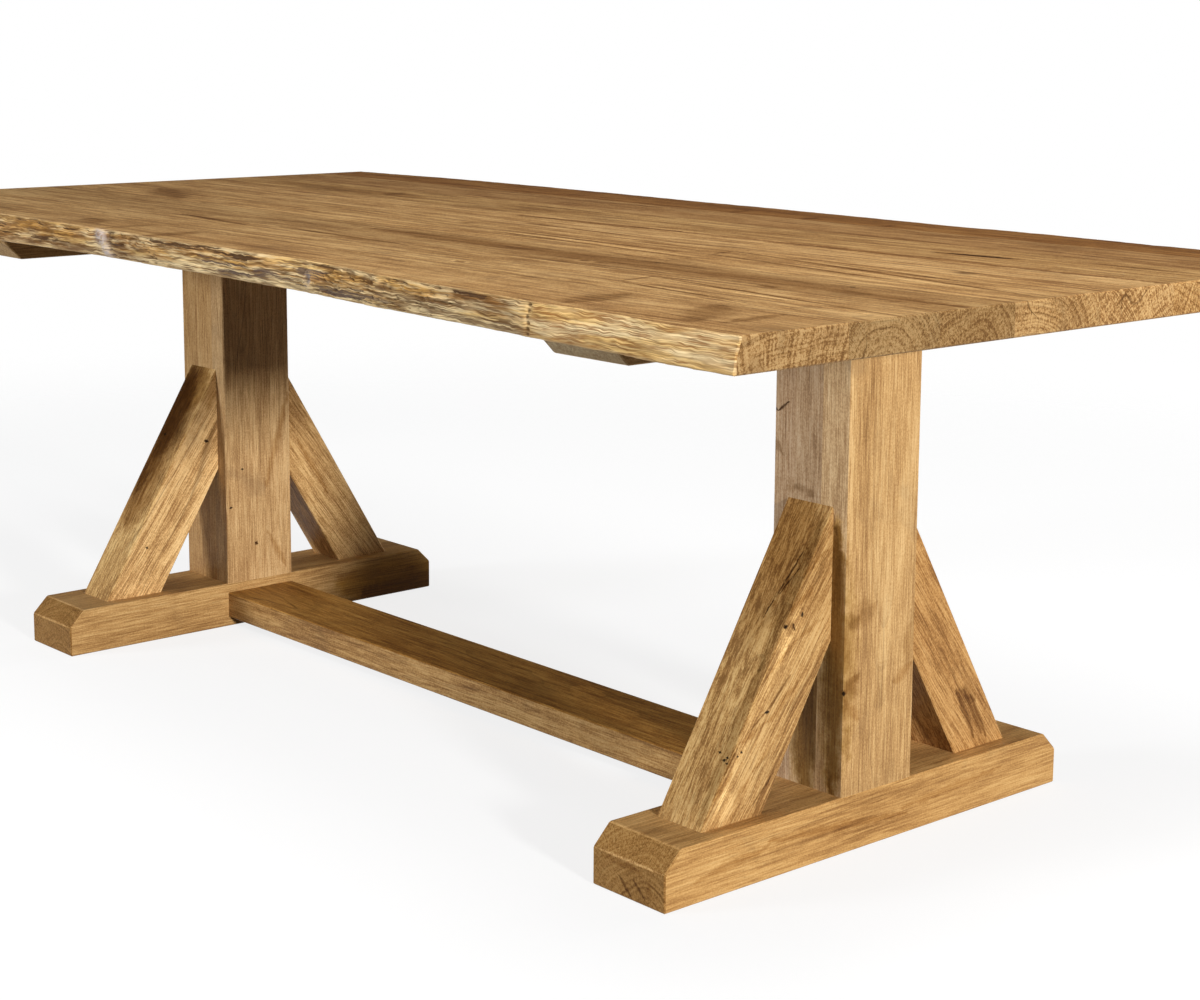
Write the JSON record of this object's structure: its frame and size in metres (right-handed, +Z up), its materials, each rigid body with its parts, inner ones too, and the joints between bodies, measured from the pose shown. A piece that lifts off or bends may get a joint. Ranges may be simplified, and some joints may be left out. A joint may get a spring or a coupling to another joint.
{
  "type": "trestle dining table",
  "caption": "Trestle dining table: live-edge plank top on braced post trestles with bevelled feet, joined by a low flat stretcher.",
  "frame": {"origin": "on the floor, under the middle of the tabletop", "axes": "+X along the tabletop, +Y from the front live edge to the back one, +Z up"},
  "size_m": [2.235, 1.1638, 0.762],
  "materials": {
    "top_wood": "stained maple under satin lacquer, grain along the planks",
    "live_edge_wood": "stained maple with a bark-free natural edge under satin lacquer",
    "base_wood": "stained maple with worm marks under satin lacquer",
    "dowel_wood": "plain birch dowel",
    "zinc_steel": "zinc-plated steel"
  },
  "bodies": {
    "root": {"front_live_edge_plank": "live_edge_wood", "top_plank_2": "top_wood", "top_plank_3": "top_wood", "top_plank_4": "top_wood", "top_plank_5": "top_wood", "top_plank_6": "top_wood", "top_plank_7": "top_wood", "back_live_edge_plank": "live_edge_wood", "right_foot": "base_wood", "right_top_bearer": "base_wood", "right_post_outer_board": "base_wood", "right_post_core_board": "base_wood", "right_post_inner_board": "base_wood", "right_front_brace": "base_wood", "right_back_brace": "base_wood", "right_brace_dowels": "dowel_wood", "right_post_foot_lags": "zinc_steel", "right_post_bearer_lags": "zinc_steel", "right_brace_lags": "zinc_steel", "right_stretcher_screws": "zinc_steel", "right_top_screws": "zinc_steel", "right_top_washers": "zinc_steel", "left_foot": "base_wood", "left_top_bearer": "base_wood", "left_post_outer_board": "base_wood", "left_post_core_board": "base_wood", "left_post_inner_board": "base_wood", "left_front_brace": "base_wood", "left_back_brace": "base_wood", "left_brace_dowels": "dowel_wood", "left_post_foot_lags": "zinc_steel", "left_post_bearer_lags": "zinc_steel", "left_brace_lags": "zinc_steel", "left_stretcher_screws": "zinc_steel", "left_top_screws": "zinc_steel", "left_top_washers": "zinc_steel", "stretcher": "base_wood"}
  },
  "joints": []
}
